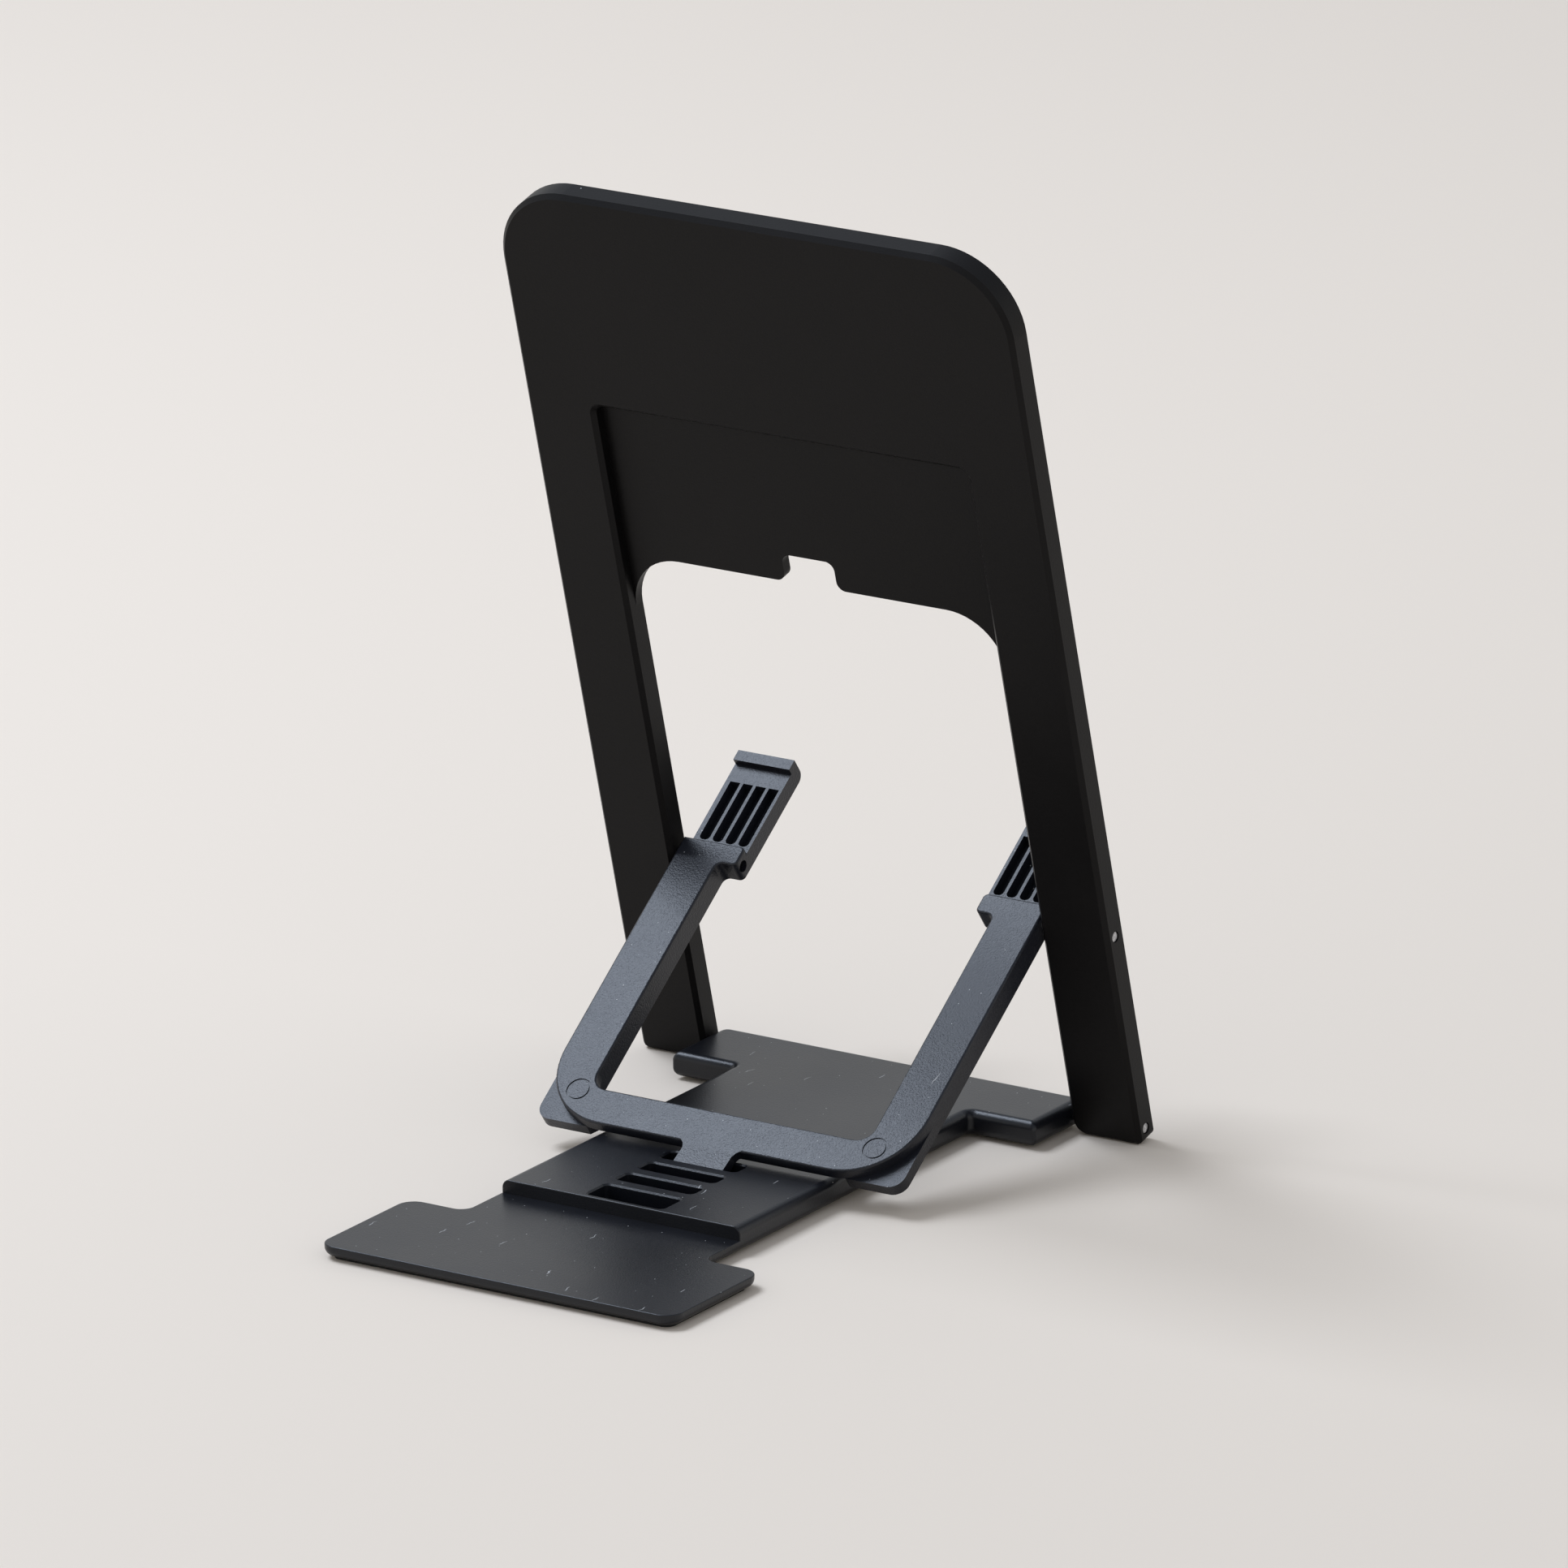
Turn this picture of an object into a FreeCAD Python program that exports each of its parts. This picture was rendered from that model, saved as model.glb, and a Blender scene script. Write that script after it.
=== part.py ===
"""Folding phone stand: a back plate on two legs, a kickstand frame and a base plate.

The base plate lies flat, the back plate leans on it, and the kickstand reaches from the
legs down into a slot of the base. Four steel pins are the hinges. Millimetres, +Z up,
X along the hinge axes, +Y towards the foot. The origin is the centre of the footprint,
on the table.
"""
import FreeCAD, Part
import os
import Sketcher
from FreeCAD import Placement, Rotation, Vector

doc = FreeCAD.newDocument("PhoneStand")

# ---- driving dimensions -------------------------------------------------------------
DRIVING = [
    # back plate; heights are measured from the bottom end of the legs
    ("plate_width", 77.0),
    ("plate_length", 129.0),
    ("plate_thick", 3.4),
    ("plate_corner", 10.8),
    ("plate_chamfer", 0.6),
    ("floor_thick", 1.5),
    ("leg_width", 10.25),
    ("pocket_top", 98.2),
    ("pocket_corner", 1.2),
    ("window_top", 75.7),
    ("window_corner", 7.9),
    ("notch_width", 7.9),
    ("notch_depth", 4.0),
    ("notch_corner", 1.3),
    ("leg_inner_corner", 1.8),
    ("leg_outer_corner", 0.9),
    ("lean_angle", 14.5),
    # hinges
    ("pin_radius", 0.75),
    ("pin_length", 18.0),
    ("pin_inset", 0.1),
    ("pin_running_gap", 0.05),
    ("pin_depth", 1.6),
    ("lower_pin_height", 1.85),
    ("upper_pin_height", 30.6),
    # kickstand; lengths are measured from the upper hinge axis
    ("frame_side_gap", 0.4),
    ("arm_width", 6.65),
    ("upper_layer", 1.6),
    ("lower_layer", 1.7),
    ("bar_inner", 38.3),
    ("bar_outer", 43.6),
    ("frame_corner", 10.2),
    ("opening_corner", 2.2),
    ("wing_inner", 18.6),
    ("wing_outer", 43.4),
    ("wing_corner", 2.0),
    ("wing_bevel", 1.2),
    ("tongue_width", 7.5),
    ("tongue_reach", 47.0),
    ("tongue_thick", 1.3),
    ("tongue_crease", 0.6),
    ("tongue_rise", 0.3),
    ("tongue_root", 1.0),
    ("cap_length", 1.9),
    ("knuckle_length", 1.15),
    ("knuckle_inner", 18.35),
    ("knuckle_corner", 0.7),
    ("knuckle_fillet", 1.0),
    ("hook_length", 16.5),
    ("hook_side_inset", 0.8),
    ("hook_recess", 0.9),
    ("hook_lip", 1.6),
    ("hook_tip_radius", 1.2),
    ("groove_width", 1.55),
    ("groove_pitch", 2.0),
    ("groove_depth", 1.6),
    ("groove_length", 9.6),
    ("groove_margin", 0.7),
    ("mark_radius", 1.7),
    ("mark_line", 0.25),
    ("mark_depth", 0.12),
    ("mark_inset_x", 5.2),
    ("mark_inset_y", 4.5),
    ("frame_edge", 0.3),
    # base plate; lengths are measured from the lower hinge axis
    ("base_thick", 3.4),
    ("base_side_gap", 0.3),
    ("hinge_front", 2.35),
    ("hinge_rear", 10.15),
    ("hinge_corner", 1.5),
    ("hinge_round", 1.1),
    ("hinge_rear_corner", 0.5),
    ("neck_width", 36.2),
    ("neck_step", 64.0),
    ("neck_fillet", 0.8),
    ("foot_thick", 1.6),
    ("foot_width", 53.7),
    ("foot_front", 72.3),
    ("foot_rear", 92.7),
    ("foot_corner", 2.4),
    ("foot_fillet", 1.8),
    ("slot_width", 3.0),
    ("slot_length", 11.6),
    ("slot_depth", 2.6),
    ("slot_pitch", 5.05),
    ("slot_corner", 0.7),
    ("slot_lip", 0.22),
    ("slot_rear_gap", 0.15),
    ("last_slot_margin", 0.8),
    ("base_edge", 0.15),
    ("bore_extra", 0.4),
    # anti-slip pad under the foot
    ("pad_margin", 1.2),
    ("pad_corner", 1.4),
]

# What follows from the driving sizes: hinge positions, resting angles and the origin.
DERIVED = [
    ("leg_inner", "plate_width / 2 - leg_width"),
    ("plate_back", "plate_thick - pin_depth"),
    ("hinge_spacing", "upper_pin_height - lower_pin_height"),
    ("rest_back", "plate_back - plate_chamfer"),
    ("hinge_height", "lower_pin_height * cos( lean_angle * 1 deg ) + rest_back * sin( lean_angle * 1 deg )"),
    ("pad_thick", "hinge_height - base_thick / 2"),
    ("upper_hinge_y", "hinge_spacing * sin( lean_angle * 1 deg )"),
    ("upper_hinge_z", "hinge_spacing * cos( lean_angle * 1 deg )"),
    ("tip_ratio", "upper_hinge_z / tongue_reach"),
    ("strut_angle", "asin( tip_ratio ) / 1 deg"),
    ("tongue_low", "upper_layer - tongue_thick"),
    ("tongue_top", "(upper_layer + tongue_rise) * tip_ratio"),
    ("tip_y", "upper_hinge_y + tongue_reach * cos( asin( tip_ratio ) ) + tongue_top"),
    ("slot_first", "tip_y + slot_rear_gap - slot_width / 2"),
    ("arm_outer", "leg_inner - frame_side_gap"),
    ("arm_inner", "arm_outer - arm_width"),
    ("hook_outer", "arm_outer - hook_side_inset"),
    ("hook_top", "upper_layer - hook_recess"),
    ("base_half", "leg_inner - base_side_gap"),
    ("tip_ahead", "(hook_length - hook_tip_radius) * cos( asin( tip_ratio ) )"),
    ("tip_below", "(lower_layer - hook_tip_radius) * tip_ratio"),
    ("hook_front", "upper_hinge_y - tip_ahead - tip_below - hook_tip_radius"),
    ("hinge_y", "0 - (hook_front + foot_rear) / 2"),
]

sheet = doc.addObject("Spreadsheet::Sheet", "Sizes")
for row, (alias, value) in enumerate(DRIVING, start=1):
    sheet.set(f"A{row}", alias)
    sheet.set(f"B{row}", str(value))
    sheet.setAlias(f"B{row}", alias)
first_derived = len(DRIVING) + 1
for row, (alias, formula) in enumerate(DERIVED, start=first_derived):
    sheet.set(f"A{row}", alias)
    sheet.setAlias(f"B{row}", alias)
for row, (alias, formula) in enumerate(DERIVED, start=first_derived):
    sheet.set(f"B{row}", "=" + formula)
doc.recompute()

ALIASES = {alias for alias, _ in DRIVING + DERIVED}
TOLERANCE = 1e-4


def bound(expression):
    """Put the sheet's name in front of each size in an expression with spaced words."""
    return " ".join(f"Sizes.{word}" if word in ALIASES else word for word in expression.split())


def value(expression):
    """The present value of such an expression."""
    return float(sheet.evalExpression(bound(expression)))


def minus(expression):
    return f"0 - ( {expression} )"


def mirrored(corners):
    """Close an outline given on its +X side with the same corners on the -X side."""
    return corners + [(minus(across), along) for across, along in reversed(corners)]


def rectangle(low, high):
    return [(low[0], low[1]), (high[0], low[1]), (high[0], high[1]), (low[0], high[1])]


def both_sides(outline):
    """An outline on the +X side and its mirror image, as two loops."""
    return [outline, [(minus(across), along) for across, along in outline]]


def new_body(label, place_y, place_z, turn=None):
    """A body whose own origin lies on a hinge axis, turned about X by an expression."""
    body = doc.addObject("PartDesign::Body", label)
    body.Label = label
    body.Placement = Placement(Vector(), Rotation(Vector(1, 0, 0), 30))
    body.setExpression(".Placement.Base.y", bound(place_y))
    body.setExpression(".Placement.Base.z", bound(place_z))
    body.setExpression(".Placement.Rotation.Angle", bound(turn) if turn else "0")
    return body


def new_sketch(body, label, role="XY_Plane", offset=None):
    """An empty sketch on one of the body's own planes, moved out by an expression."""
    sketch = body.newObject("Sketcher::SketchObject", label)
    origin_plane = next(item for item in body.Origin.OriginFeatures if item.Role == role)
    sketch.AttachmentSupport = [(origin_plane, "")]
    sketch.MapMode = "FlatFace"
    if offset:
        sketch.setExpression(".AttachmentOffset.Base.z", bound(offset))
    return sketch


def hold(sketch, constraint, expression):
    """Add a dimension to the sketch and tie it to the sheet."""
    index = sketch.addConstraint(constraint)
    sketch.setExpression(f"Constraints[{index}]", bound(expression))


def add_loop(sketch, corners):
    """A closed polygon with both coordinates of every corner tied to the sheet."""
    points = [Vector(value(across), value(along), 0) for across, along in corners]
    count = len(points)
    first = sketch.GeometryCount
    for step in range(count):
        sketch.addGeometry(Part.LineSegment(points[step], points[(step + 1) % count]), False)
    for step in range(count):
        following = first + (step + 1) % count
        sketch.addConstraint(Sketcher.Constraint("Coincident", first + step, 2, following, 1))
    for step, (across, along) in enumerate(corners):
        edge = first + step
        hold(sketch, Sketcher.Constraint("DistanceX", -1, 1, edge, 1, points[step].x), across)
        hold(sketch, Sketcher.Constraint("DistanceY", -1, 1, edge, 1, points[step].y), along)


def add_circle(sketch, radius, centre=None):
    """A circle about the sketch's origin, or about a centre given by two expressions."""
    place = Vector(*(value(part) for part in centre), 0) if centre else Vector()
    circle = sketch.addGeometry(Part.Circle(place, Vector(0, 0, 1), value(radius)), False)
    if centre:
        hold(sketch, Sketcher.Constraint("DistanceX", -1, 1, circle, 3, place.x), centre[0])
        hold(sketch, Sketcher.Constraint("DistanceY", -1, 1, circle, 3, place.y), centre[1])
    else:
        sketch.addConstraint(Sketcher.Constraint("Coincident", circle, 3, -1, 1))
    hold(sketch, Sketcher.Constraint("Radius", circle, value(radius)), radius)


def add_pad(body, label, sketch, length, centred=False, back=False):
    pad = body.newObject("PartDesign::Pad", label)
    pad.Profile = sketch
    pad.setExpression("Length", bound(length))
    pad.Midplane = centred
    pad.Reversed = back
    doc.recompute()
    return pad


def add_pocket(body, label, sketch, length, centred=False, back=False):
    """Cut a sketch into the body, and stop if the cut took nothing away."""
    before = body.Tip.Shape.Volume
    pocket = body.newObject("PartDesign::Pocket", label)
    pocket.Profile = sketch
    pocket.setExpression("Length", bound(length))
    pocket.Midplane = centred
    pocket.Reversed = back
    doc.recompute()
    if before - pocket.Shape.Volume < TOLERANCE:
        raise RuntimeError(f"{label} cuts nothing")
    return pocket


def chosen(body, test):
    return [f"Edge{n}" for n, edge in enumerate(body.Tip.Shape.Edges, start=1) if test(edge.BoundBox)]


def add_fillet(body, label, radius, test):
    names = chosen(body, test)
    base = body.Tip
    fillet = body.newObject("PartDesign::Fillet", label)
    fillet.Base = (base, names)
    fillet.setExpression("Radius", bound(radius))
    doc.recompute()


def add_chamfer(body, label, width, test):
    names = chosen(body, test)
    base = body.Tip
    chamfer = body.newObject("PartDesign::Chamfer", label)
    chamfer.Base = (base, names)
    chamfer.setExpression("Size", bound(width))
    doc.recompute()


def near(first, second):
    return abs(first - second) < TOLERANCE


def corner_at(across, along):
    """A test for the upright edges that stand at +-across, along."""
    place_x = value(across)
    place_y = value(along)

    def test(box):
        upright = box.XLength < TOLERANCE and box.YLength < TOLERANCE
        return upright and near(abs(box.Center.x), place_x) and near(box.Center.y, place_y)
    return test


def round_corners(body, label, radius, places):
    """Round every upright edge found at the listed places."""
    tests = [corner_at(across, along) for across, along in places]
    add_fillet(body, label, radius, lambda box: any(test(box) for test in tests))


# ---- back plate: X across, Y up the plate from the lower hinge, +Z towards the screen side ----
def make_back_plate():
    body = new_body("back_plate", "hinge_y", "hinge_height", "90 - lean_angle")
    bottom = "0 - lower_pin_height"
    below = "0 - lower_pin_height - leg_width"
    pocket_end = "pocket_top - lower_pin_height"
    window_end = "window_top - lower_pin_height"
    notch_end = "window_top + notch_depth - lower_pin_height"
    top = "plate_length - lower_pin_height"
    half = "plate_width / 2"
    notch_half = "notch_width / 2"

    outline = new_sketch(body, "PlateOutline", offset="0 - plate_back")
    add_loop(outline, mirrored([(half, bottom), (half, top)]))
    add_pad(body, "PlateSheet", outline, "plate_thick")
    round_corners(body, "TopCorners", "plate_corner", [(half, top)])

    recess = new_sketch(body, "PocketOutline", offset="0 - plate_back")
    add_loop(recess, mirrored([("leg_inner", below), ("leg_inner", pocket_end)]))
    add_pocket(body, "FoldingPocket", recess, "plate_thick - floor_thick", back=True)

    window = new_sketch(body, "WindowOutline", offset="pin_depth")
    corners = [("leg_inner", below), ("leg_inner", window_end), (notch_half, window_end),
               (notch_half, notch_end)]
    add_loop(window, mirrored(corners))
    add_pocket(body, "Window", window, "plate_thick")

    round_corners(body, "PocketCorners", "pocket_corner", [("leg_inner", pocket_end)])
    round_corners(body, "WindowCorners", "window_corner", [("leg_inner", window_end)])
    round_corners(body, "NotchCorners", "notch_corner",
                  [(notch_half, window_end), (notch_half, notch_end)])
    round_corners(body, "LegInnerCorners", "leg_inner_corner", [("leg_inner", bottom)])
    round_corners(body, "LegOuterCorners", "leg_outer_corner", [(half, bottom)])

    for name, height in (("Lower", None), ("Upper", "hinge_spacing")):
        hole = new_sketch(body, f"{name}PinHole", "YZ_Plane")
        add_circle(hole, "pin_radius", (height, "0 * pin_radius") if height else None)
        add_pocket(body, f"{name}PinHoles", hole, "plate_width * 2", centred=True)

    back = value("0 - plate_back")
    add_chamfer(body, "BackRim", "plate_chamfer", lambda box: near(box.ZMin, back) and near(box.ZMax, back))
    return body


# ---- kickstand: Y down the arms from the upper hinge, +Z the face seen from behind ----
def make_kickstand():
    body = new_body("kickstand_frame", "hinge_y + upper_hinge_y", "hinge_height + upper_hinge_z",
                    "0 - strut_angle")
    cap = "0 - cap_length"
    upper = new_sketch(body, "UpperOutline")
    add_loop(upper, mirrored([
        ("arm_inner", "bar_inner"), ("arm_inner", "knuckle_length"),
        ("knuckle_inner", "knuckle_length"), ("knuckle_inner", cap),
        ("arm_outer", cap), ("arm_outer", "bar_outer")]))
    add_pad(body, "UpperLayer", upper, "upper_layer")
    round_corners(body, "FrameCorners", "frame_corner", [("arm_outer", "bar_outer")])
    round_corners(body, "OpeningCorners", "opening_corner", [("arm_inner", "bar_inner")])
    round_corners(body, "CapCorners", "knuckle_corner", [("knuckle_inner", cap)])

    lower = new_sketch(body, "LowerOutline", offset="0 - lower_layer")
    arm = [("knuckle_inner", cap), ("arm_outer", cap), ("arm_outer", "wing_outer"),
           ("wing_inner + wing_bevel", "wing_outer"), ("wing_inner", "wing_outer - wing_bevel"),
           ("wing_inner", "bar_inner"), ("arm_inner", "bar_inner"),
           ("arm_inner", "knuckle_length"), ("knuckle_inner", "knuckle_length")]
    for loop in both_sides(arm):
        add_loop(lower, loop)
    add_pad(body, "LowerLayer", lower, "lower_layer")
    round_corners(body, "WingCorners", "wing_corner", [("arm_outer", "wing_outer")])
    round_corners(body, "KnuckleCorners", "knuckle_corner", [("knuckle_inner", "knuckle_length")])
    round_corners(body, "KnuckleFillets", "knuckle_fillet", [("arm_inner", "knuckle_length")])

    hook = new_sketch(body, "HookOutline", offset="0 - lower_layer")
    tip = "0 - hook_length"
    for loop in both_sides(rectangle(("knuckle_inner", tip), ("hook_outer", "0 - knuckle_length"))):
        add_loop(hook, loop)
    add_pad(body, "Hooks", hook, "lower_layer + hook_top")

    lip = new_sketch(body, "LipOutline", offset="0 - lower_layer")
    lip_end = "hook_lip - hook_length"
    for loop in both_sides(rectangle(("knuckle_inner", tip), ("hook_outer", lip_end))):
        add_loop(lip, loop)
    add_pad(body, "HookLips", lip, "lower_layer + upper_layer")

    top = value("upper_layer")
    shoulder = value(cap)


    def face_edge(box):
        return near(box.ZMin, top) and near(box.ZMax, top) and box.YMax > shoulder - TOLERANCE

    add_fillet(body, "FaceEdges", "frame_edge", face_edge)

    tongue = new_sketch(body, "TongueSide", "YZ_Plane")
    add_loop(tongue, [
        ("bar_inner + tongue_thick", "tongue_low"), ("tongue_reach", "tongue_low"),
        ("tongue_reach", "upper_layer + tongue_rise"), ("bar_outer + tongue_crease", "upper_layer"),
        ("bar_inner + tongue_thick", "upper_layer")])
    add_pad(body, "Tongue", tongue, "tongue_width", centred=True)

    web = new_sketch(body, "TongueWeb", offset="tongue_low")
    side = "tongue_width / 2"
    add_loop(web, mirrored([
        (f"{side} + tongue_root", "bar_outer - frame_edge"),
        (f"{side} + tongue_root * 0.3", "bar_outer + tongue_root * 0.3"),
        (side, "bar_outer + tongue_root")]))
    add_pad(body, "TongueWebs", web, "tongue_thick")

    bore = new_sketch(body, "HingeBore", "YZ_Plane")
    add_circle(bore, "pin_radius + pin_running_gap")
    add_pocket(body, "HingeBores", bore, "plate_width * 2", centred=True)

    grooves = new_sketch(body, "GrooveOutline", offset="hook_top")
    start = "hook_outer - groove_margin"
    for number in range(4):
        outer = f"{start} - groove_pitch * {number}"
        low = (f"{outer} - groove_width", f"{cap} - knuckle_length / 2 - groove_length")
        for loop in both_sides(rectangle(low, (outer, f"{cap} - knuckle_length / 2"))):
            add_loop(grooves, loop)
    add_pocket(body, "HookGrooves", grooves, "groove_depth")
    groove_top = value(f"{cap} - knuckle_length / 2")
    groove_low = value("hook_top - groove_depth")

    def groove_end(box):
        upright = box.XLength < TOLERANCE and box.YLength < TOLERANCE
        return upright and near(box.Center.y, groove_top) and near(box.ZMin, groove_low)

    add_fillet(body, "GrooveEnds", "groove_width * 0.42", groove_end)

    marks = new_sketch(body, "MarkOutline", offset="upper_layer")
    for side in ("arm_outer - mark_inset_x", minus("arm_outer - mark_inset_x")):
        for radius in ("mark_radius", "mark_radius - mark_line"):
            add_circle(marks, radius, (side, "bar_outer - mark_inset_y"))
    add_pocket(body, "CornerMarks", marks, "mark_depth")

    tip_line = value(tip)
    under = value("0 - lower_layer")

    def hook_tip(box):
        across = box.YLength < TOLERANCE and box.ZLength < TOLERANCE
        return across and near(box.YMin, tip_line) and near(box.ZMin, under)

    add_fillet(body, "HookTips", "hook_tip_radius", hook_tip)
    return body


# ---- base plate: Y back from the lower hinge, Z about the hinge axis ----
def make_base_plate():
    body = new_body("base_plate", "hinge_y", "hinge_height")
    underside = "0 - base_thick / 2"
    front = "0 - hinge_front"
    neck = "neck_width / 2"
    foot = "foot_width / 2"
    hinge_part = [("base_half", front), ("base_half", "hinge_rear"), (neck, "hinge_rear")]
    thin = new_sketch(body, "WholeOutline", offset=underside)
    add_loop(thin, mirrored(hinge_part + [
        (neck, "foot_front"), (foot, "foot_front"), (foot, "foot_rear")]))
    add_pad(body, "FootSheet", thin, "foot_thick")
    thick = new_sketch(body, "NeckOutline", offset=underside)
    add_loop(thick, mirrored(hinge_part + [(neck, "neck_step")]))
    add_pad(body, "NeckSheet", thick, "base_thick")

    round_corners(body, "FootCorners", "foot_corner", [(foot, "foot_front"), (foot, "foot_rear")])
    round_corners(body, "FootFillets", "foot_fillet", [(neck, "foot_front")])
    round_corners(body, "NeckFillets", "neck_fillet", [(neck, "hinge_rear")])
    round_corners(body, "HingeCorners", "hinge_corner", [("base_half", front)])
    round_corners(body, "HingeRearCorners", "hinge_rear_corner", [("base_half", "hinge_rear")])

    slots = new_sketch(body, "SlotOutline", offset="base_thick / 2")
    ends = "slot_length / 2"
    last_front = "slot_first + slot_pitch * 3 - slot_width / 2"
    for number in range(3):
        centre = f"slot_first + slot_pitch * {number}"
        add_loop(slots, rectangle((minus(ends), f"{centre} - slot_width / 2"),
                                  (ends, f"{centre} + slot_width / 2")))
    add_loop(slots, rectangle((minus(ends), last_front), (ends, "neck_step - last_slot_margin")))
    add_pocket(body, "TongueSlots", slots, "slot_depth")
    slot_end = value(ends)

    def slot_corner(box):
        upright = box.XLength < TOLERANCE and box.YLength < TOLERANCE
        return upright and near(abs(box.Center.x), slot_end)

    add_fillet(body, "SlotCorners", "slot_corner", slot_corner)
    top = value("base_thick / 2")
    foot_top = value("foot_thick - base_thick / 2")
    step = value("neck_step")
    front_line = value(front)

    def slot_rim(box):
        level = near(box.ZMin, top) and near(box.ZMax, top)
        return level and box.XMax < slot_end + TOLERANCE and box.XMin > -slot_end - TOLERANCE

    add_chamfer(body, "SlotLips", "slot_lip", slot_rim)

    for name, back in (("Right", False), ("Left", True)):
        offset = minus("base_half") if back else "base_half"
        bore = new_sketch(body, f"{name}Bore", "YZ_Plane", offset)
        add_circle(bore, "pin_radius + pin_running_gap")
        pin_end = "plate_width / 2 - pin_inset - pin_length"
        add_pocket(body, f"{name}HingeBore", bore, f"base_half - ( {pin_end} ) + bore_extra", back=back)

    def nose(box):
        level = box.YLength < TOLERANCE and box.ZLength < TOLERANCE
        return level and near(box.YMin, front_line)

    add_fillet(body, "HingeNose", "hinge_round", nose)

    def soft_edge(box):
        level = near(box.ZMin, box.ZMax)
        slot = box.XMax < slot_end + 1 and box.XMin > -slot_end - 1
        high = near(box.ZMin, top) and box.YMin > front_line + 1 and not slot
        low = near(box.ZMin, foot_top) and box.YMax > step + TOLERANCE
        return level and (high or low)

    add_fillet(body, "SoftEdges", "base_edge", soft_edge)
    return body


# ---- anti-slip pad: a thin sheet bonded under the foot ----
def make_foot_pad():
    body = new_body("foot_pad", "hinge_y", "0 * pad_thick")
    side = "foot_width / 2 - pad_margin"
    near_end = "foot_front + pad_margin"
    far_end = "foot_rear - pad_margin"
    outline = new_sketch(body, "PadOutline")
    add_loop(outline, mirrored([(side, near_end), (side, far_end)]))
    add_pad(body, "PadSheet", outline, "pad_thick")
    round_corners(body, "PadCorners", "pad_corner", [(side, near_end), (side, far_end)])
    return body


def make_pin(label, start, height_y, height_z):
    """A plain steel pin lying along X from a start given by an expression."""
    pin = doc.addObject("Part::Cylinder", label)
    pin.Label = label
    pin.Placement = Placement(Vector(), Rotation(Vector(0, 1, 0), 90))
    pin.setExpression("Radius", bound("pin_radius"))
    pin.setExpression("Height", bound("pin_length"))
    pin.setExpression(".Placement.Base.x", bound(start))
    pin.setExpression(".Placement.Base.y", bound(height_y))
    pin.setExpression(".Placement.Base.z", bound(height_z))
    return pin


pieces = [make_back_plate(), make_kickstand(), make_base_plate(), make_foot_pad()]
for side, begin in (("right", "plate_width / 2 - pin_inset - pin_length"),
                    ("left", "0 - plate_width / 2 + pin_inset")):
    pieces.append(make_pin(f"lower_pin_{side}", begin, "hinge_y", "hinge_height"))
    pieces.append(make_pin(f"upper_pin_{side}", begin, "hinge_y + upper_hinge_y",
                           "hinge_height + upper_hinge_z"))
doc.recompute()

failed = [item.Name for item in doc.Objects if "Invalid" in item.State or "Error" in item.State]
if failed:
    raise RuntimeError(f"these did not build: {failed}")
for piece in pieces:
    if piece.Shape.isNull() or not piece.Shape.isValid() or len(piece.Shape.Solids) != 1:
        raise RuntimeError(f"{piece.Label} is not one sound solid")

os.makedirs("parts", exist_ok=True)
for piece in pieces:
    piece.Shape.exportStep(f"parts/{piece.Label}.step")
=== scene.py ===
import math

import bmesh
import bpy
from mathutils import Matrix, Vector


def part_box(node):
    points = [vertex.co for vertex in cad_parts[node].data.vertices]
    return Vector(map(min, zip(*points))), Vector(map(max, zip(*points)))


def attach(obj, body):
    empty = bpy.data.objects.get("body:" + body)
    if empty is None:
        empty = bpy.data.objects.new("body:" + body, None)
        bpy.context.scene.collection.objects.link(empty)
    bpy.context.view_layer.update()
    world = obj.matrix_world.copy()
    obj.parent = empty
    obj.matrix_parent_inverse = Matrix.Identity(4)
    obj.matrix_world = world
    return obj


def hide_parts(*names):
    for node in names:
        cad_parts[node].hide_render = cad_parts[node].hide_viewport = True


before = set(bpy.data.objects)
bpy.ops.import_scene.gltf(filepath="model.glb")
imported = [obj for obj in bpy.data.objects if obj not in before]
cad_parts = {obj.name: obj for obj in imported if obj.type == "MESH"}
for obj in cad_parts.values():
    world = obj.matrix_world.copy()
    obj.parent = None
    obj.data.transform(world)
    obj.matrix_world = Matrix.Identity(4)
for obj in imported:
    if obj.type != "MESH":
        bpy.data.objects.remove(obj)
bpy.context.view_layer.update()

# Looks of the folding phone stand: moulded plastic, steel hinge pins and a rubber foot pad.
MM = 0.001

# ---- camera: behind the stand, a little above it, from far away with a long lens ----
VIEW_AZIMUTH = 213.34
VIEW_ELEVATION = 17.51
VIEW_ROLL = -0.61
VIEW_DISTANCE = 2.06
VIEW_AIM = Vector((17.2, -43.9, 39.1)) * MM
LENS = 364.65
SENSOR = 36.0

# ---- light and surroundings ----
SOFTBOX_PLACE = (0.66, 0.05, 1.08)
SOFTBOX_AIM = (0.0, 0.0, 0.03)
SOFTBOX_SIZE = (0.62, 0.52)
SOFTBOX_POWER = 12.8
SOFTBOX_COLOUR = (0.76, 0.85, 1.0)
FLOOR_SIZE = 9.0
FLOOR_COLOUR = (0.75, 0.66, 0.56)
WALL_LIGHT = (0.88, 0.88, 0.87)
CEILING_LIGHT = (0.46, 0.50, 0.57)

# ---- finishes; lengths inside the effects are in millimetres ----
DUST_COLOUR = (0.55, 0.55, 0.54)
DUST_ROUGHENS = 0.3
FIBRE_STRENGTH = 0.6
FIBRE_RADIUS = 0.055
TONE_PATCHES = 55.0
PIN_EDGE = 0.12 * MM
PIN_DOME = 0.05 * MM
PIN_CLEARANCE = 0.002 * MM
PIN_SIDES = 40


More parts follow.
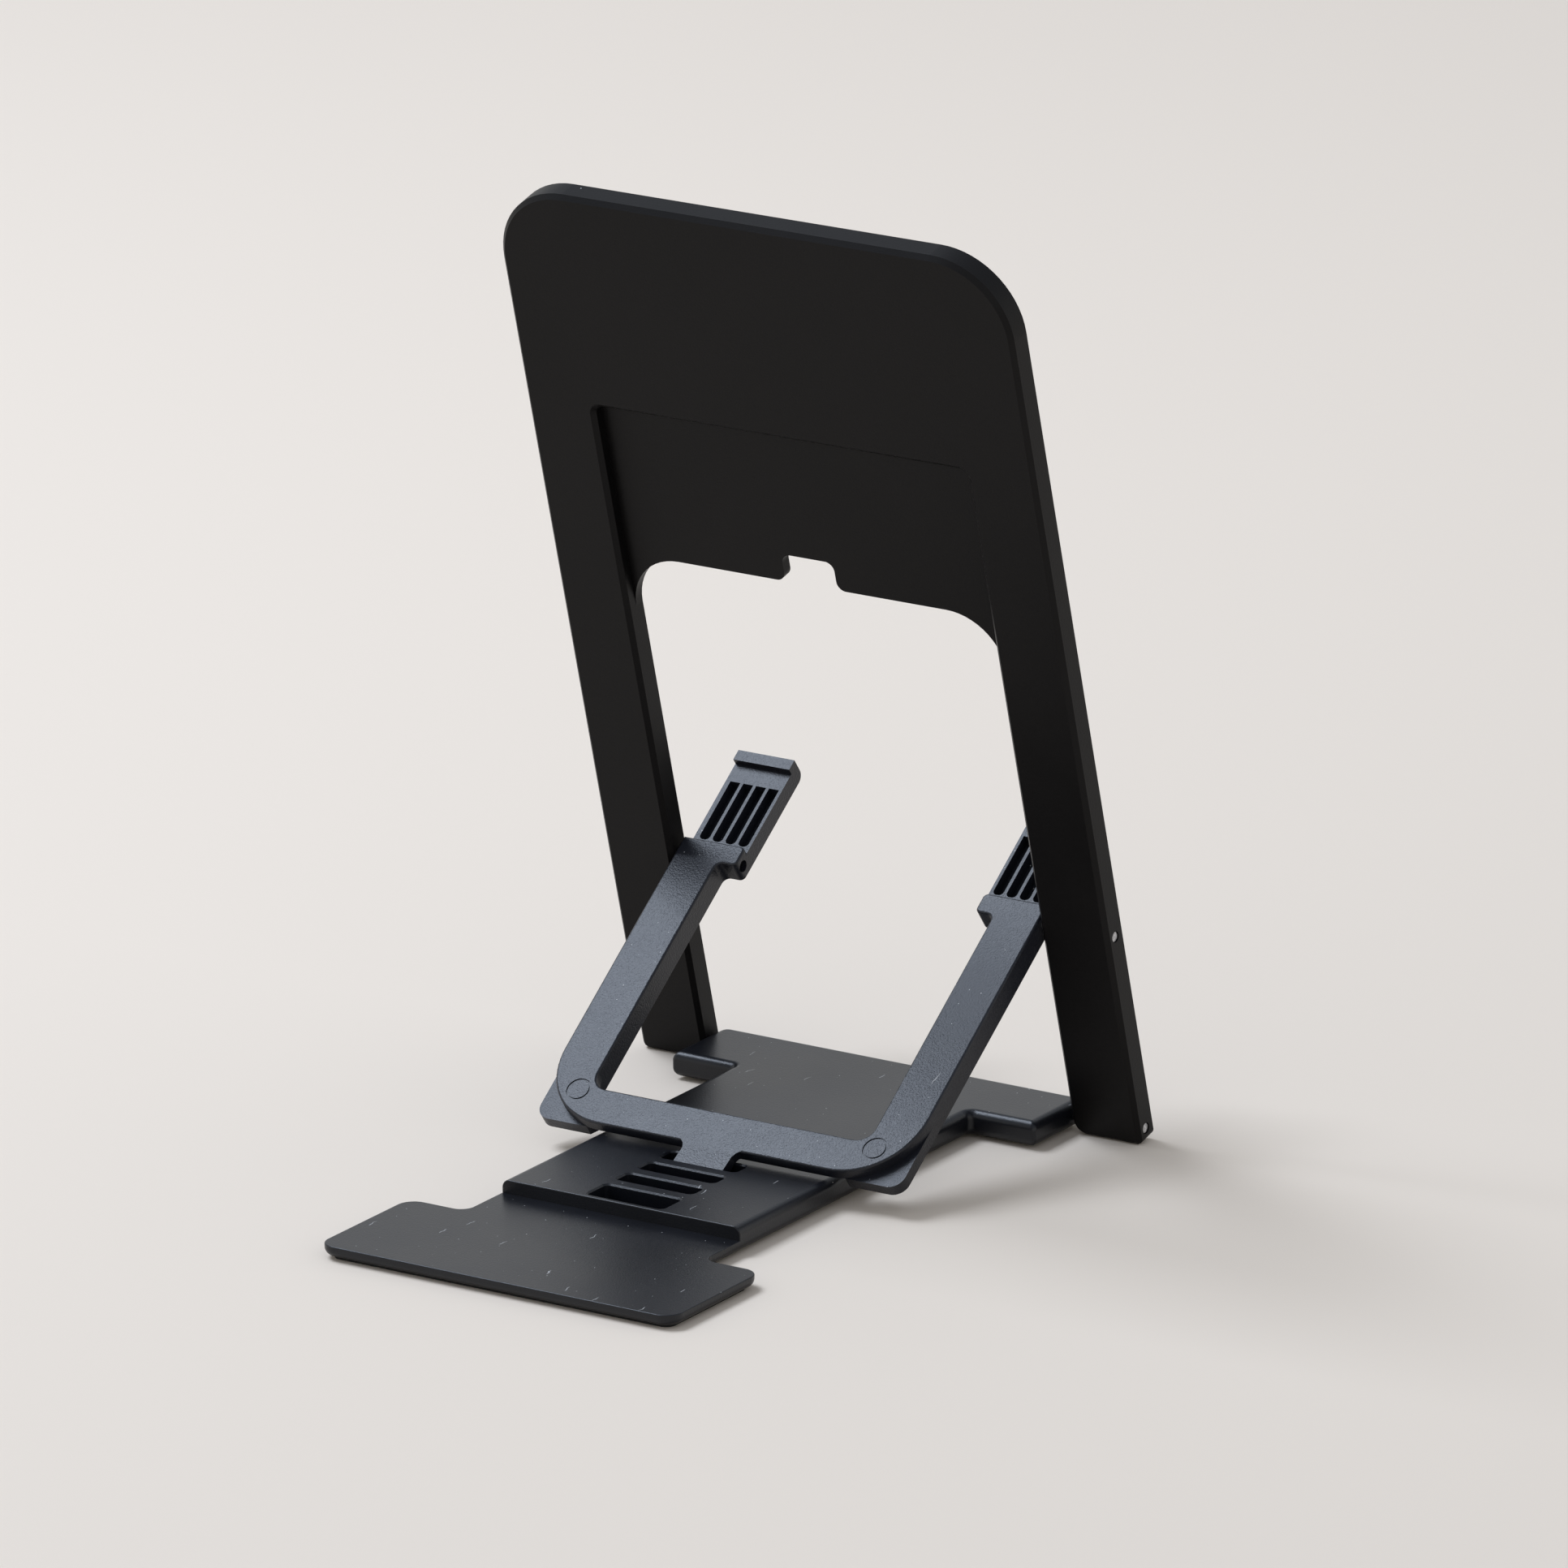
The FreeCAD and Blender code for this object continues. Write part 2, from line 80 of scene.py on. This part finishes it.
def new_material(name):
    """An empty node material with a Principled shader, and its tree's helpers."""
    material = bpy.data.materials.new(name)
    material.use_nodes = True
    tree = material.node_tree
    tree.nodes.clear()
    out = tree.nodes.new("ShaderNodeOutputMaterial")
    shader = tree.nodes.new("ShaderNodeBsdfPrincipled")
    tree.links.new(shader.outputs["BSDF"], out.inputs["Surface"])
    return material, tree, shader


def add_math(tree, operation, first, second=None, third=None, clamp=False):
    """A Math node on up to three sockets or numbers; gives its output."""
    node = tree.nodes.new("ShaderNodeMath")
    node.operation = operation
    node.use_clamp = clamp
    for socket, source in zip(node.inputs, (first, second, third)):
        if isinstance(source, bpy.types.NodeSocket):
            tree.links.new(source, socket)
        elif source is not None:
            socket.default_value = source
    return node.outputs[0]


def add_ramp(tree, source, low, high):
    """Stretch the part of a value between low and high to 0..1, with soft ends."""
    node = tree.nodes.new("ShaderNodeMapRange")
    node.interpolation_type = "SMOOTHSTEP"
    tree.links.new(source, node.inputs["Value"])
    node.inputs["From Min"].default_value = low
    node.inputs["From Max"].default_value = high
    return node.outputs["Result"]


def add_mix(tree, factor, first, second):
    """A colour mix; first and second are colours or sockets."""
    node = tree.nodes.new("ShaderNodeMix")
    node.data_type = "RGBA"
    tree.links.new(factor, node.inputs["Factor"])
    for name, source in (("A", first), ("B", second)):
        socket = next(item for item in node.inputs if item.name == name and item.type == "RGBA")
        if isinstance(source, bpy.types.NodeSocket):
            tree.links.new(source, socket)
        else:
            socket.default_value = (*source, 1.0)
    return next(item for item in node.outputs if item.type == "RGBA")


def new_group(name, inputs, outputs):
    """A shader node group with named inputs (with defaults) and outputs."""
    group = bpy.data.node_groups.new(name, "ShaderNodeTree")
    for title, kind, default in inputs:
        socket = group.interface.new_socket(title, in_out="INPUT", socket_type=kind)
        if default is not None:
            socket.default_value = default
    for title, kind in outputs:
        group.interface.new_socket(title, in_out="OUTPUT", socket_type=kind)
    entry = group.nodes.new("NodeGroupInput")
    leave = group.nodes.new("NodeGroupOutput")
    return group, entry, leave


def place_group(tree, group, coordinates, **values):
    """Put a group in a material, with its own values."""
    node = tree.nodes.new("ShaderNodeGroup")
    node.node_tree = group
    tree.links.new(coordinates, node.inputs["Place"])
    for title, number in values.items():
        node.inputs[title.replace("_", " ")].default_value = number
    return node


def add_noise(tree, place, scale, detail=2.0, roughness=0.5):
    """A fractal noise value; the scale is a number or a socket."""
    node = tree.nodes.new("ShaderNodeTexNoise")
    tree.links.new(place, node.inputs["Vector"])
    if isinstance(scale, bpy.types.NodeSocket):
        tree.links.new(scale, node.inputs["Scale"])
    else:
        node.inputs["Scale"].default_value = scale
    node.inputs["Detail"].default_value = detail
    node.inputs["Roughness"].default_value = roughness
    return node.outputs["Fac"]


def add_upward(tree):
    """1 on faces that look up, 0 on walls and undersides."""
    facing = tree.nodes.new("ShaderNodeNewGeometry")
    axes = tree.nodes.new("ShaderNodeSeparateXYZ")
    tree.links.new(facing.outputs["Normal"], axes.inputs["Vector"])
    return add_ramp(tree, axes.outputs["Z"], 0.3, 0.6)


def link_upward_mask(group, inside, kept, leave):
    """The group's mask: marks that are kept, on faces that look up."""
    mask = add_math(group, "MULTIPLY", inside, kept)
    mask = add_math(group, "MULTIPLY", mask, add_upward(group))
    group.links.new(mask, leave.inputs["Mask"])


# ---- shared effects ----
def make_grain_group():
    """Spark-eroded mould grain: small rounded pebbles over a slower waviness."""
    group, entry, leave = new_group(
        "mould_grain",
        [("Place", "NodeSocketVector", None), ("Grain Size", "NodeSocketFloat", 0.35)],
        [("Height", "NodeSocketFloat"), ("Tone", "NodeSocketFloat")])
    scale = add_math(group, "DIVIDE", 1000.0, entry.outputs["Grain Size"])
    pebbles = group.nodes.new("ShaderNodeTexVoronoi")
    pebbles.feature = "SMOOTH_F1"
    pebbles.inputs["Smoothness"].default_value = 0.7
    group.links.new(entry.outputs["Place"], pebbles.inputs["Vector"])
    group.links.new(scale, pebbles.inputs["Scale"])
    fine_scale = add_math(group, "MULTIPLY", scale, 1.7)
    fine = add_noise(group, entry.outputs["Place"], fine_scale, 3.0, 0.6)
    dome = add_math(group, "SUBTRACT", 1.0, pebbles.outputs["Distance"])
    height = add_math(group, "MULTIPLY_ADD", dome, 0.6, add_math(group, "MULTIPLY", fine, 0.4))
    group.links.new(height, leave.inputs["Height"])
    tone = add_noise(group, entry.outputs["Place"], TONE_PATCHES, 3.0, 0.55)
    group.links.new(tone, leave.inputs["Tone"])
    return group


def make_dust_group():
    """White specks that have settled on the faces that look up."""
    group, entry, leave = new_group(
        "settled_dust",
        [("Place", "NodeSocketVector", None), ("Spacing", "NodeSocketFloat", 4.0),
         ("Speck Size", "NodeSocketFloat", 0.12), ("Share", "NodeSocketFloat", 0.3)],
        [("Mask", "NodeSocketFloat")])
    cells = group.nodes.new("ShaderNodeTexVoronoi")
    cells.voronoi_dimensions = "2D"
    group.links.new(entry.outputs["Place"], cells.inputs["Vector"])
    scale = add_math(group, "DIVIDE", 1000.0, entry.outputs["Spacing"])
    group.links.new(scale, cells.inputs["Scale"])
    split = group.nodes.new("ShaderNodeSeparateColor")
    group.links.new(cells.outputs["Color"], split.inputs["Color"])
    radius = add_math(group, "DIVIDE", entry.outputs["Speck Size"], entry.outputs["Spacing"])
    spread = add_math(group, "ADD", split.outputs["Green"], 0.3)
    radius = add_math(group, "MULTIPLY", radius, spread)
    inside = add_math(group, "LESS_THAN", cells.outputs["Distance"], radius)
    kept = add_math(group, "LESS_THAN", split.outputs["Red"], entry.outputs["Share"])
    link_upward_mask(group, inside, kept, leave)
    return group


def make_lint_group():
    """Short curved fibres of lint, thin and pale, on a few places that look up."""
    group, entry, leave = new_group(
        "lint_fibres",
        [("Place", "NodeSocketVector", None), ("Spacing", "NodeSocketFloat", 9.0),
         ("Share", "NodeSocketFloat", 0.2)],
        [("Mask", "NodeSocketFloat")])
    bend = group.nodes.new("ShaderNodeTexNoise")
    bend.inputs["Scale"].default_value = 420.0
    group.links.new(entry.outputs["Place"], bend.inputs["Vector"])
    shift = group.nodes.new("ShaderNodeVectorMath")
    shift.operation = "MULTIPLY_ADD"
    group.links.new(bend.outputs["Color"], shift.inputs[0])
    shift.inputs[1].default_value = (0.0016, 0.0016, 0.0016)
    group.links.new(entry.outputs["Place"], shift.inputs[2])
    turn = group.nodes.new("ShaderNodeMapping")
    turn.inputs["Rotation"].default_value = (0.0, 0.0, 0.7)
    turn.inputs["Scale"].default_value = (1.0, 0.07, 1.0)
    group.links.new(shift.outputs["Vector"], turn.inputs["Vector"])
    cells = group.nodes.new("ShaderNodeTexVoronoi")
    cells.voronoi_dimensions = "2D"
    group.links.new(turn.outputs["Vector"], cells.inputs["Vector"])
    scale = add_math(group, "DIVIDE", 1000.0, entry.outputs["Spacing"])
    group.links.new(scale, cells.inputs["Scale"])
    split = group.nodes.new("ShaderNodeSeparateColor")
    group.links.new(cells.outputs["Color"], split.inputs["Color"])
    width = add_math(group, "DIVIDE", FIBRE_RADIUS, entry.outputs["Spacing"])
    inside = add_math(group, "LESS_THAN", cells.outputs["Distance"], width)
    kept = add_math(group, "LESS_THAN", split.outputs["Blue"], entry.outputs["Share"])
    link_upward_mask(group, inside, kept, leave)
    return group


GRAIN = make_grain_group()
DUST = make_dust_group()
LINT = make_lint_group()


def add_bump(tree, shader, height, depth, strength=1.0):
    """Relief of a depth in metres on the shader's normal."""
    bump = tree.nodes.new("ShaderNodeBump")
    bump.inputs["Strength"].default_value = strength
    bump.inputs["Distance"].default_value = depth
    tree.links.new(height, bump.inputs["Height"])
    tree.links.new(bump.outputs["Normal"], shader.inputs["Normal"])


def make_plastic(name, dark, light, roughness, specular, grain, dust, lint):
    """Moulded plastic: mottled tone, pebbled grain, settled dust and a few fibres of lint.

    grain is its size and depth, dust is spacing, size and share, lint is spacing and share.
    """
    material, tree, shader = new_material(name)
    place = tree.nodes.new("ShaderNodeTexCoord").outputs["Object"]
    pebbles = place_group(tree, GRAIN, place, Grain_Size=grain[0])
    specks = place_group(tree, DUST, place, Spacing=dust[0], Speck_Size=dust[1], Share=dust[2])
    fibres = place_group(tree, LINT, place, Spacing=lint[0], Share=lint[1])
    tone = add_mix(tree, add_ramp(tree, pebbles.outputs["Tone"], 0.3, 0.7), dark, light)
    threads = add_math(tree, "MULTIPLY", fibres.outputs["Mask"], FIBRE_STRENGTH)
    pale = add_math(tree, "ADD", specks.outputs["Mask"], threads, clamp=True)
    tree.links.new(add_mix(tree, pale, tone, DUST_COLOUR), shader.inputs["Base Color"])
    uneven = add_math(tree, "SUBTRACT", pebbles.outputs["Tone"], 0.5)
    rough = add_math(tree, "ADD", add_math(tree, "MULTIPLY", uneven, 0.12), roughness)
    dusty = add_math(tree, "MULTIPLY", pale, DUST_ROUGHENS)
    tree.links.new(add_math(tree, "ADD", rough, dusty, clamp=True), shader.inputs["Roughness"])
    shader.inputs["Specular IOR Level"].default_value = specular
    add_bump(tree, shader, pebbles.outputs["Height"], grain[1] * MM)
    return material


def make_steel():
    """Drawn steel wire with fine mottling in tone, gloss and relief."""
    material, tree, shader = new_material("pin_steel_wire")
    place = tree.nodes.new("ShaderNodeTexCoord").outputs["Object"]
    mottle = add_noise(tree, place, 2600.0, 4.0, 0.65)
    patches = add_ramp(tree, mottle, 0.35, 0.65)
    tone = add_mix(tree, patches, (0.36, 0.36, 0.37), (0.66, 0.66, 0.67))
    tree.links.new(tone, shader.inputs["Base Color"])
    shader.inputs["Metallic"].default_value = 1.0
    tree.links.new(add_math(tree, "MULTIPLY_ADD", mottle, 0.3, 0.3), shader.inputs["Roughness"])
    add_bump(tree, shader, mottle, 0.02 * MM, 0.6)
    return material


def make_rubber():
    """Matte black rubber with the mould's fine grain."""
    material, tree, shader = new_material("foot_pad_rubber")
    place = tree.nodes.new("ShaderNodeTexCoord").outputs["Object"]
    grain = place_group(tree, GRAIN, place, Grain_Size=0.5)
    tone = add_mix(tree, grain.outputs["Tone"], (0.008, 0.008, 0.008), (0.022, 0.022, 0.021))
    tree.links.new(tone, shader.inputs["Base Color"])
    tree.links.new(add_math(tree, "MULTIPLY_ADD", grain.outputs["Tone"], 0.1, 0.82),
                   shader.inputs["Roughness"])
    shader.inputs["Specular IOR Level"].default_value = 0.3
    add_bump(tree, shader, grain.outputs["Height"], 0.06 * MM)
    return material


PLATE_BLACK = make_plastic(
    "back_plate_matt_black", dark=(0.0030, 0.0026, 0.0027), light=(0.0044, 0.0038, 0.0039),
    roughness=0.44, specular=0.15, grain=(0.22, 0.012), dust=(12.0, 0.06, 0.30), lint=(6.0, 0.20))
# Kickstand: the black is the plastic's own colour, but the blue tint in its dark and light tones
# is painted sheen from the bluish overhead light.
FRAME_BLACK_PAINTED_BLUE_SHEEN = make_plastic(
    "kickstand_satin_black_painted_blue_sheen", dark=(0.0066, 0.0074, 0.0108), light=(0.0116, 0.0128, 0.0182),
    roughness=0.36, specular=0.36, grain=(0.24, 0.046), dust=(2.4, 0.048, 0.45), lint=(4.5, 0.20))
# Base: the black is the plastic's own colour, but the blue tint in its dark and light tones is
# painted sheen from the bluish overhead light.
BASE_BLACK_PAINTED_BLUE_SHEEN = make_plastic(
    "base_satin_black_painted_blue_sheen", dark=(0.0042, 0.0047, 0.0068), light=(0.0066, 0.0074, 0.0102),
    roughness=0.32, specular=0.36, grain=(0.22, 0.016), dust=(3.0, 0.052, 0.50), lint=(2.8, 0.75))
PIN_STEEL = make_steel()
PAD_RUBBER = make_rubber()

CARRIED_OVER = {"back_plate": PLATE_BLACK, "kickstand_frame": FRAME_BLACK_PAINTED_BLUE_SHEEN,
                "base_plate": BASE_BLACK_PAINTED_BLUE_SHEEN, "foot_pad": PAD_RUBBER}
for node, finish in CARRIED_OVER.items():
    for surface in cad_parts[node].material_slots:
        surface.material = finish


# ---- hinge pins: turned wire with a broken edge and a slightly domed cut end ----
def make_pin(node):
    """Turn a pin in its CAD node's box and let it stand for that node."""
    low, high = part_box(node)
    middle = (low + high) / 2
    radius = (high.z - low.z) / 2 - PIN_CLEARANCE
    half = (high.x - low.x) / 2
    face = half - PIN_DOME
    right_end = [(face - PIN_EDGE, radius), (face, radius - PIN_EDGE),
                 (half - PIN_DOME * 0.4, radius * 0.55), (half, 0.0)]
    left_end = [(-across, height) for across, height in reversed(right_end)]
    shape = bmesh.new()
    line = [shape.verts.new((across, 0.0, height)) for across, height in left_end + right_end]
    edges = [shape.edges.new(pair) for pair in zip(line, line[1:])]
    bmesh.ops.spin(shape, geom=line + edges, cent=(0, 0, 0), axis=(1, 0, 0), dvec=(0, 0, 0),
                   angle=math.tau, steps=PIN_SIDES, use_merge=True, use_duplicate=False)
    bmesh.ops.remove_doubles(shape, verts=shape.verts, dist=1e-6)
    bmesh.ops.recalc_face_normals(shape, faces=shape.faces)
    bmesh.ops.translate(shape, verts=shape.verts, vec=middle)
    mesh = bpy.data.meshes.new(f"{node}_turned")
    shape.to_mesh(mesh)
    shape.free()
    mesh.materials.append(PIN_STEEL)
    for polygon in mesh.polygons:
        polygon.use_smooth = abs(polygon.normal.x) < 0.9
    pin = bpy.data.objects.new(f"{node}_turned", mesh)
    bpy.context.collection.objects.link(pin)
    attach(pin, "plate")
    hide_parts(node)


for height in ("lower", "upper"):
    for side in ("left", "right"):
        make_pin(f"{height}_pin_{side}")


# ---- plain pale floor ----
def make_floor():
    """A plain pale floor, staged: it isn't part of the stand."""
    shape = bmesh.new()
    bmesh.ops.create_grid(shape, x_segments=1, y_segments=1, size=FLOOR_SIZE / 2)
    mesh = bpy.data.meshes.new("pale_floor")
    shape.to_mesh(mesh)
    shape.free()
    material, _, shader = new_material("pale_floor")
    shader.inputs["Base Color"].default_value = (*FLOOR_COLOUR, 1.0)
    shader.inputs["Roughness"].default_value = 0.8
    shader.inputs["Specular IOR Level"].default_value = 0.2
    mesh.materials.append(material)
    floor = bpy.data.objects.new("pale_floor", mesh)
    bpy.context.collection.objects.link(floor)


def make_world():
    """Soft room light: pale walls round the stand and a dimmer ceiling."""
    world = bpy.data.worlds.new("soft_room")
    bpy.context.scene.world = world
    world.use_nodes = True
    tree = world.node_tree
    tree.nodes.clear()
    direction = tree.nodes.new("ShaderNodeTexCoord").outputs["Generated"]
    axes = tree.nodes.new("ShaderNodeSeparateXYZ")
    tree.links.new(direction, axes.inputs["Vector"])
    height = add_ramp(tree, axes.outputs["Z"], 0.15, 0.7)
    colour = add_mix(tree, height, WALL_LIGHT, CEILING_LIGHT)
    background = tree.nodes.new("ShaderNodeBackground")
    tree.links.new(colour, background.inputs["Color"])
    out = tree.nodes.new("ShaderNodeOutputWorld")
    tree.links.new(background.outputs["Background"], out.inputs["Surface"])


def make_softbox():
    """The overhead light, a soft rectangle."""
    light = bpy.data.lights.new("overhead_softbox", "AREA")
    light.shape = "RECTANGLE"
    light.size, light.size_y = SOFTBOX_SIZE
    light.energy = SOFTBOX_POWER
    light.color = SOFTBOX_COLOUR
    holder = bpy.data.objects.new("overhead_softbox", light)
    holder.location = SOFTBOX_PLACE
    holder.rotation_mode = "QUATERNION"
    towards = Vector(SOFTBOX_AIM) - Vector(SOFTBOX_PLACE)
    holder.rotation_quaternion = towards.to_track_quat("-Z", "Y")
    bpy.context.collection.objects.link(holder)


def make_camera():
    """A long lens behind the stand, a little above it."""
    azimuth = math.radians(VIEW_AZIMUTH)
    elevation = math.radians(VIEW_ELEVATION)
    back = Vector((math.sin(azimuth) * math.cos(elevation),
                   -math.cos(azimuth) * math.cos(elevation), math.sin(elevation)))
    data = bpy.data.cameras.new("camera_behind")
    data.lens = LENS
    data.sensor_width = SENSOR
    camera = bpy.data.objects.new("camera_behind", data)
    aimed = (-back).to_track_quat("-Z", "Y").to_matrix().to_4x4()
    roll = Matrix.Rotation(math.radians(VIEW_ROLL), 4, "Z")
    camera.matrix_world = Matrix.Translation(VIEW_AIM + back * VIEW_DISTANCE) @ aimed @ roll
    bpy.context.collection.objects.link(camera)
    bpy.context.scene.camera = camera


make_floor()
make_world()
make_softbox()
make_camera()
bpy.context.scene.view_settings.view_transform = "Standard"
